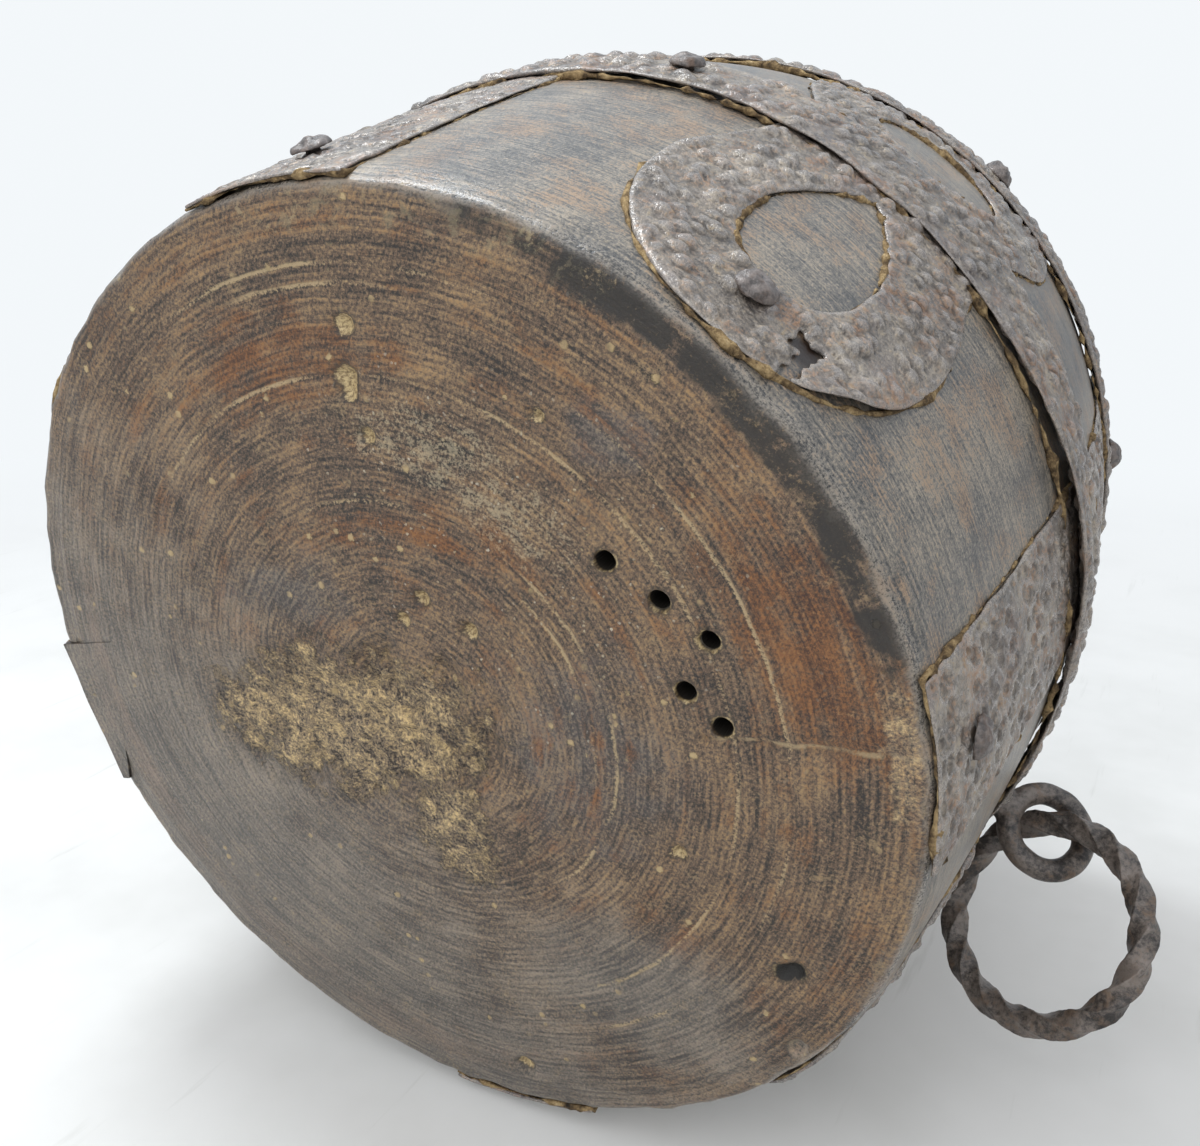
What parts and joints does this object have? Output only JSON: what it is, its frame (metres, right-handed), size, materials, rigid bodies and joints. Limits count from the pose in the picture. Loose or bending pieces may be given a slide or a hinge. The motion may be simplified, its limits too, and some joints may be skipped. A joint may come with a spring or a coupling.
{
  "type": "grain measure",
  "caption": "Turned wooden grain measure, swelling at the belly, bound with nailed hammered iron straps, pierced lobes and hoops, with a twisted iron hanging ring in an eye.",
  "frame": {"origin": "centre of the flat end-grain base, on the lathe axis", "axes": "+Z along the lathe axis from the base to the mouth; +X lies 25.3 degrees from the eye that carries the ring, which stands towards +Y of it"},
  "size_m": [0.2045, 0.1827, 0.138],
  "materials": {
    "turned_wood": "worn, dark, satin",
    "sheet_iron": "hammered, dark brown patina with rust",
    "nail_iron": "forged, dark patina",
    "forged_iron": "forged, near-black patina"
  },
  "bodies": {
    "measure": {"band_nail_1": "nail_iron", "band_nail_2": "nail_iron", "band_nail_3": "nail_iron", "belly_band": "sheet_iron", "eye_staple": "forged_iron", "lobe_foot_nail_1": "nail_iron", "lobe_foot_nail_2": "nail_iron", "lobe_foot_nail_3": "nail_iron", "lobe_foot_nail_4": "nail_iron", "lobe_rim_nail_1": "nail_iron", "lobe_rim_nail_2": "nail_iron", "lobe_rim_nail_3": "nail_iron", "lobe_rim_nail_4": "nail_iron", "lower_lobe_1": "sheet_iron", "lower_lobe_2": "sheet_iron", "lower_lobe_3": "sheet_iron", "lower_lobe_4": "sheet_iron", "rim_hoop": "sheet_iron", "strap_1": "sheet_iron", "strap_2": "sheet_iron", "strap_3": "sheet_iron", "strap_4": "sheet_iron", "strap_foot_nail_1": "nail_iron", "strap_foot_nail_2": "nail_iron", "strap_foot_nail_3": "nail_iron", "strap_foot_nail_4": "nail_iron", "strap_rim_nail_1": "nail_iron", "strap_rim_nail_2": "nail_iron", "strap_rim_nail_3": "nail_iron", "strap_rim_nail_4": "nail_iron", "upper_lobe_1": "sheet_iron", "upper_lobe_2": "sheet_iron", "upper_lobe_3": "sheet_iron", "upper_lobe_4": "sheet_iron", "wood_body": "turned_wood"},
    "ring": {"ring": "forged_iron"}
  },
  "joints": [
    {"name": "ring_swing", "type": "hinge", "parent": "measure", "child": "ring", "pos_m": [0.09019, 0.04263, 0.0725], "axis": [-0.3701, 0.783, 0.5], "range_deg": [-130, 10]}
  ]
}
